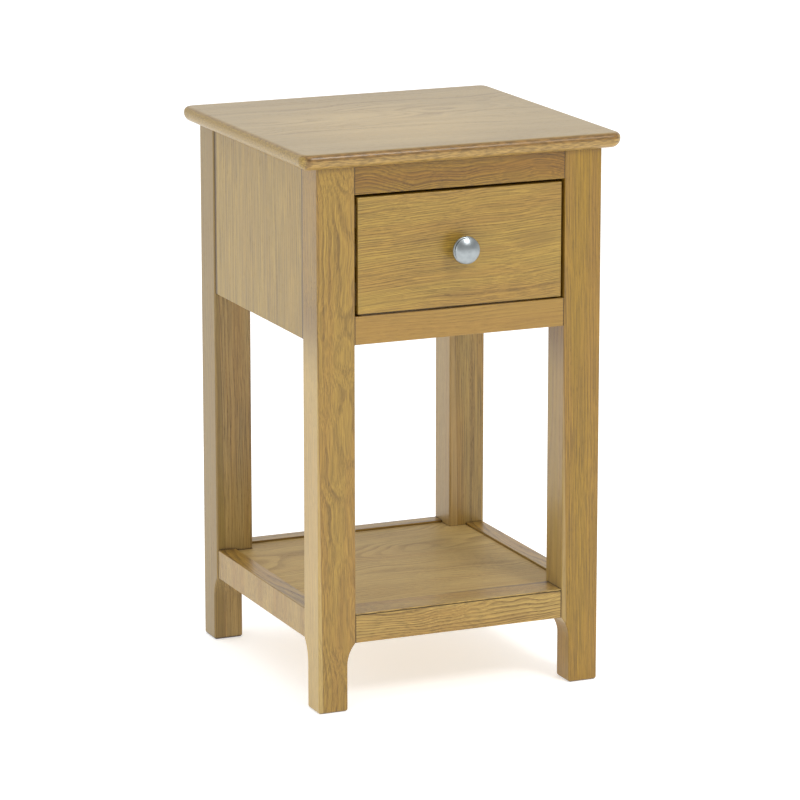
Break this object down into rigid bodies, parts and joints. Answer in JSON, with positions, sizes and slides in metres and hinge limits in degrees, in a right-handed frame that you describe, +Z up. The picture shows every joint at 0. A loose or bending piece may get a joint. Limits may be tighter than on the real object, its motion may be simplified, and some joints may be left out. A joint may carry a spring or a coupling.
{
  "type": "nightstand",
  "caption": "Small square oak nightstand on straight legs, with a sliding drawer with a round metal knob, and a framed low shelf.",
  "frame": {"origin": "on the floor, under the middle of the whole outline with the drawer shut, knob included", "axes": "+Z up, -Y to the front where the drawer opens, +X to the right of someone facing the back from the front"},
  "size_m": [0.396, 0.39, 0.65],
  "materials": {
    "oak_top": "pale lacquered oak, satin",
    "oak_legs": "lacquered oak, upright grain, satin",
    "oak_rails": "lacquered oak, level grain, satin",
    "oak_veneer": "oak veneer on board, satin lacquer",
    "oak_drawer_front": "lacquered oak, fine level grain, satin",
    "drawer_box_wood": "pale hardwood, thin lacquer",
    "plywood": "thin plywood, thin lacquer",
    "runner_wood": "plain hardwood, unfinished",
    "beech": "beech dowel, unfinished",
    "satin_nickel": "satin nickel plating",
    "zinc": "bright zinc plating"
  },
  "bodies": {
    "frame": {"back_cleat": "runner_wood", "back_panel": "oak_veneer", "dowels_back_panel": "beech", "dowels_front_rails": "beech", "dowels_shelf_frame": "beech", "dowels_side_panels": "beech", "drawer_guide_left": "runner_wood", "drawer_guide_right": "runner_wood", "drawer_runner_left": "runner_wood", "drawer_runner_right": "runner_wood", "drawer_stop_left": "runner_wood", "drawer_stop_right": "runner_wood", "guide_screws": "zinc", "kicker_left": "runner_wood", "kicker_right": "runner_wood", "kicker_screws": "zinc", "leg_front_left": "oak_legs", "leg_front_right": "oak_legs", "leg_rear_left": "oak_legs", "leg_rear_right": "oak_legs", "lower_rail_front": "oak_rails", "shelf_panel": "oak_veneer", "shelf_rail_front": "oak_rails", "shelf_rail_left": "oak_rails", "shelf_rail_rear": "oak_rails", "shelf_rail_right": "oak_rails", "side_panel_left": "oak_veneer", "side_panel_right": "oak_veneer", "stop_rail": "runner_wood", "tabletop": "oak_top", "tabletop_screws": "zinc", "top_rail_front": "oak_rails"},
    "drawer": {"drawer_back": "drawer_box_wood", "drawer_bottom": "plywood", "drawer_bottom_screws": "zinc", "drawer_front": "oak_drawer_front", "drawer_side_left": "drawer_box_wood", "drawer_side_right": "drawer_box_wood", "knob": "satin_nickel", "knob_screw": "zinc", "pull_out_stop": "runner_wood", "pull_out_stop_screws": "zinc"}
  },
  "joints": [
    {"name": "drawer_slide", "type": "slide", "parent": "frame", "child": "drawer", "axis": [0, -1, 0], "range_m": [0, 0.2]}
  ]
}
